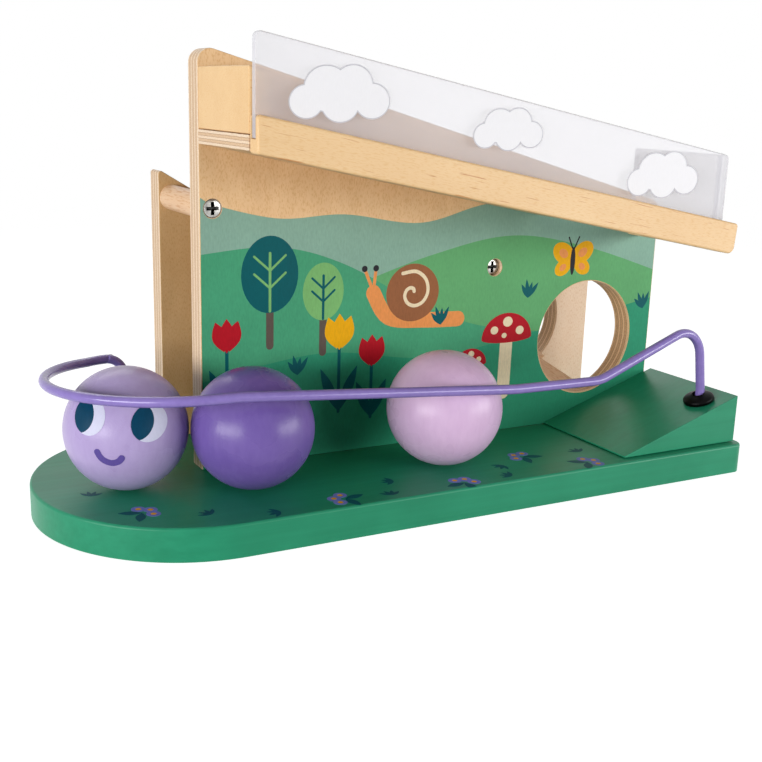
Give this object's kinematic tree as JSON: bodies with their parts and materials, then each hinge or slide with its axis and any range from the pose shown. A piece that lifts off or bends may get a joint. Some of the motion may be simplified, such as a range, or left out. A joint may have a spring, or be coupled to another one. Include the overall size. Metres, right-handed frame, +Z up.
{
  "type": "wooden marble run",
  "caption": "Wooden toy ball run: a painted base, a two-panel plywood tower with a sloped tray, a landing wedge, a bent wire guard and loose painted balls.",
  "frame": {"origin": "centre of the base board's underside", "axes": "+X along the base towards the landing wedge, +Y from the ball lane towards the back of the tower, +Z up"},
  "size_m": [0.292, 0.12, 0.175],
  "materials": {
    "green_paint": "satin green paint",
    "plywood": "clear-lacquered birch plywood",
    "pine": "clear-lacquered pine",
    "beech": "bare beech",
    "clear_sheet": "clear plastic sheet",
    "purple_coat": "smooth purple plastic coat on steel wire",
    "black_rubber": "black rubber",
    "screw_steel": "plated steel",
    "lilac_paint": "satin lilac paint",
    "purple_paint": "satin purple paint",
    "pink_paint": "satin pink paint"
  },
  "bodies": {
    "run": {"base_board": "green_paint", "landing_wedge": "green_paint", "front_panel": "plywood", "rear_panel": "plywood", "tray_floor": "plywood", "upper_dowel": "beech", "lower_dowel": "beech", "tunnel_ramp": "beech", "tray_rail": "pine", "tray_bridge": "pine", "tray_stop": "pine", "front_window": "clear_sheet", "end_window": "clear_sheet", "guard_wire": "purple_coat", "wedge_bushing": "black_rubber", "base_bushing": "black_rubber", "front_foot_screw_1": "screw_steel", "front_foot_screw_2": "screw_steel", "front_foot_screw_3": "screw_steel", "rear_foot_screw_1": "screw_steel", "rear_foot_screw_2": "screw_steel", "rear_foot_screw_3": "screw_steel", "wedge_screw_1": "screw_steel", "wedge_screw_2": "screw_steel", "ramp_screw_1": "screw_steel", "ramp_screw_2": "screw_steel", "front_dowel_screw_1": "screw_steel", "front_dowel_screw_2": "screw_steel", "rear_dowel_screw_1": "screw_steel", "rear_dowel_screw_2": "screw_steel", "tray_screw_1": "screw_steel", "tray_screw_2": "screw_steel", "tray_screw_3": "screw_steel", "tray_screw_4": "screw_steel"},
    "head": {"ball_head": "lilac_paint"},
    "purple": {"ball_purple": "purple_paint"},
    "pink": {"ball_pink": "pink_paint"}
  },
  "joints": [
    {"name": "head_roll", "type": "slide", "parent": "run", "child": "head", "axis": [1, 0, 0], "range_m": [-0.0045, 0]},
    {"name": "purple_roll", "type": "slide", "parent": "run", "child": "purple", "axis": [1, 0, 0], "range_m": [0, 0.016]},
    {"name": "pink_roll", "type": "slide", "parent": "run", "child": "pink", "axis": [0.9972, 0.0744, 0], "range_m": [-0.016, 0.0655]}
  ]
}
